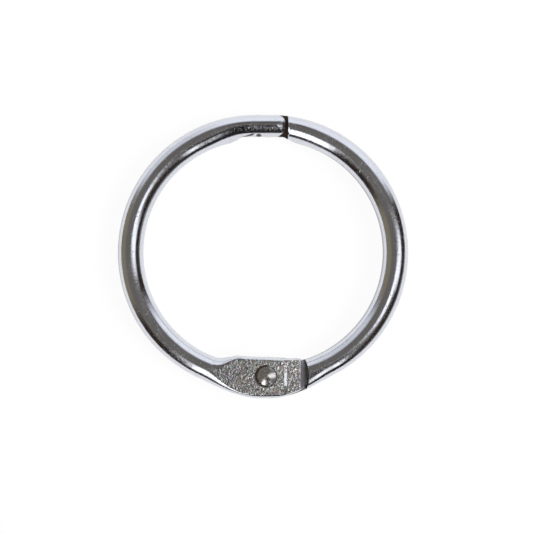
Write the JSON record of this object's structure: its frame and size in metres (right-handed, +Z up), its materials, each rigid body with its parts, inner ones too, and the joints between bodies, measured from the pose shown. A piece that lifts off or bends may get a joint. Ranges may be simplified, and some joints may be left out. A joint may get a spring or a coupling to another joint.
{
  "type": "binder ring",
  "caption": "Hinged wire ring for loose sheets: two round-wire halves turn on a riveted hinge and snap shut in a lapped closure.",
  "frame": {"origin": "on the surface the ring lies on, under the middle of its outline", "axes": "+Z up, along the ring's and the hinge's axis; +Y from the hinge to the closure; +X to the right of the closed ring"},
  "size_m": [0.0308, 0.03, 0.0027],
  "materials": {
    "nickel_wire": "bright nickel plate on steel wire, coined matt-sparkling on the hinge blades",
    "nickel_rivet": "bright nickel plate on steel"
  },
  "bodies": {
    "left_half": {"left_half_ring": "nickel_wire", "hinge_rivet": "nickel_rivet"},
    "right_half": {"right_half_ring": "nickel_wire"}
  },
  "joints": [
    {"name": "hinge", "type": "hinge", "parent": "left_half", "child": "right_half", "pos_m": [0.00031, -0.01263, 0.00135], "axis": [0, 0, -1], "range_deg": [0, 135]}
  ]
}
